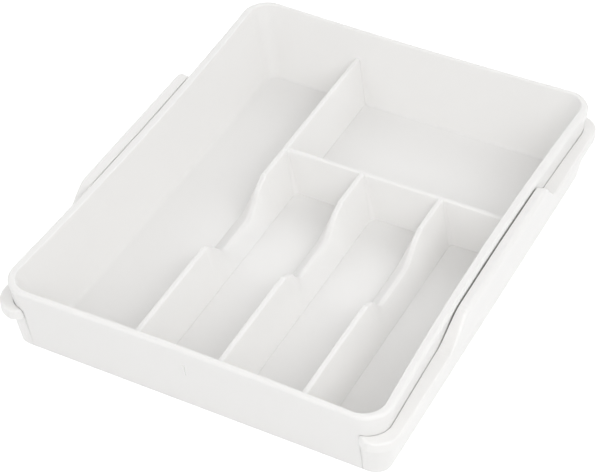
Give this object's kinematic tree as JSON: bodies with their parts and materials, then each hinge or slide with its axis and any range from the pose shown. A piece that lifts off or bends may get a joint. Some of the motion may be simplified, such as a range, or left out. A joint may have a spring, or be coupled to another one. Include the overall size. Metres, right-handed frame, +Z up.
{
  "type": "extendable cutlery tray",
  "caption": "Drawer tray that sorts cutlery in open compartments, with a side tray that slides out on each side to fit a wider drawer.",
  "frame": {"origin": "middle of the footprint, on the surface that the tray stands on", "axes": "+X towards the right side tray, +Y towards the back, +Z up"},
  "size_m": [0.3032, 0.3798, 0.061],
  "materials": {
    "white_plastic": "satin"
  },
  "bodies": {
    "main": {"main_tray": "white_plastic"},
    "left_side": {"left_side_tray": "white_plastic"},
    "right_side": {"right_side_tray": "white_plastic"}
  },
  "joints": [
    {"name": "left_slide", "type": "slide", "parent": "main", "child": "left_side", "axis": [-1, 0, 0], "range_m": [0, 0.095]},
    {"name": "right_slide", "type": "slide", "parent": "main", "child": "right_side", "axis": [1, 0, 0], "range_m": [0, 0.095]}
  ]
}
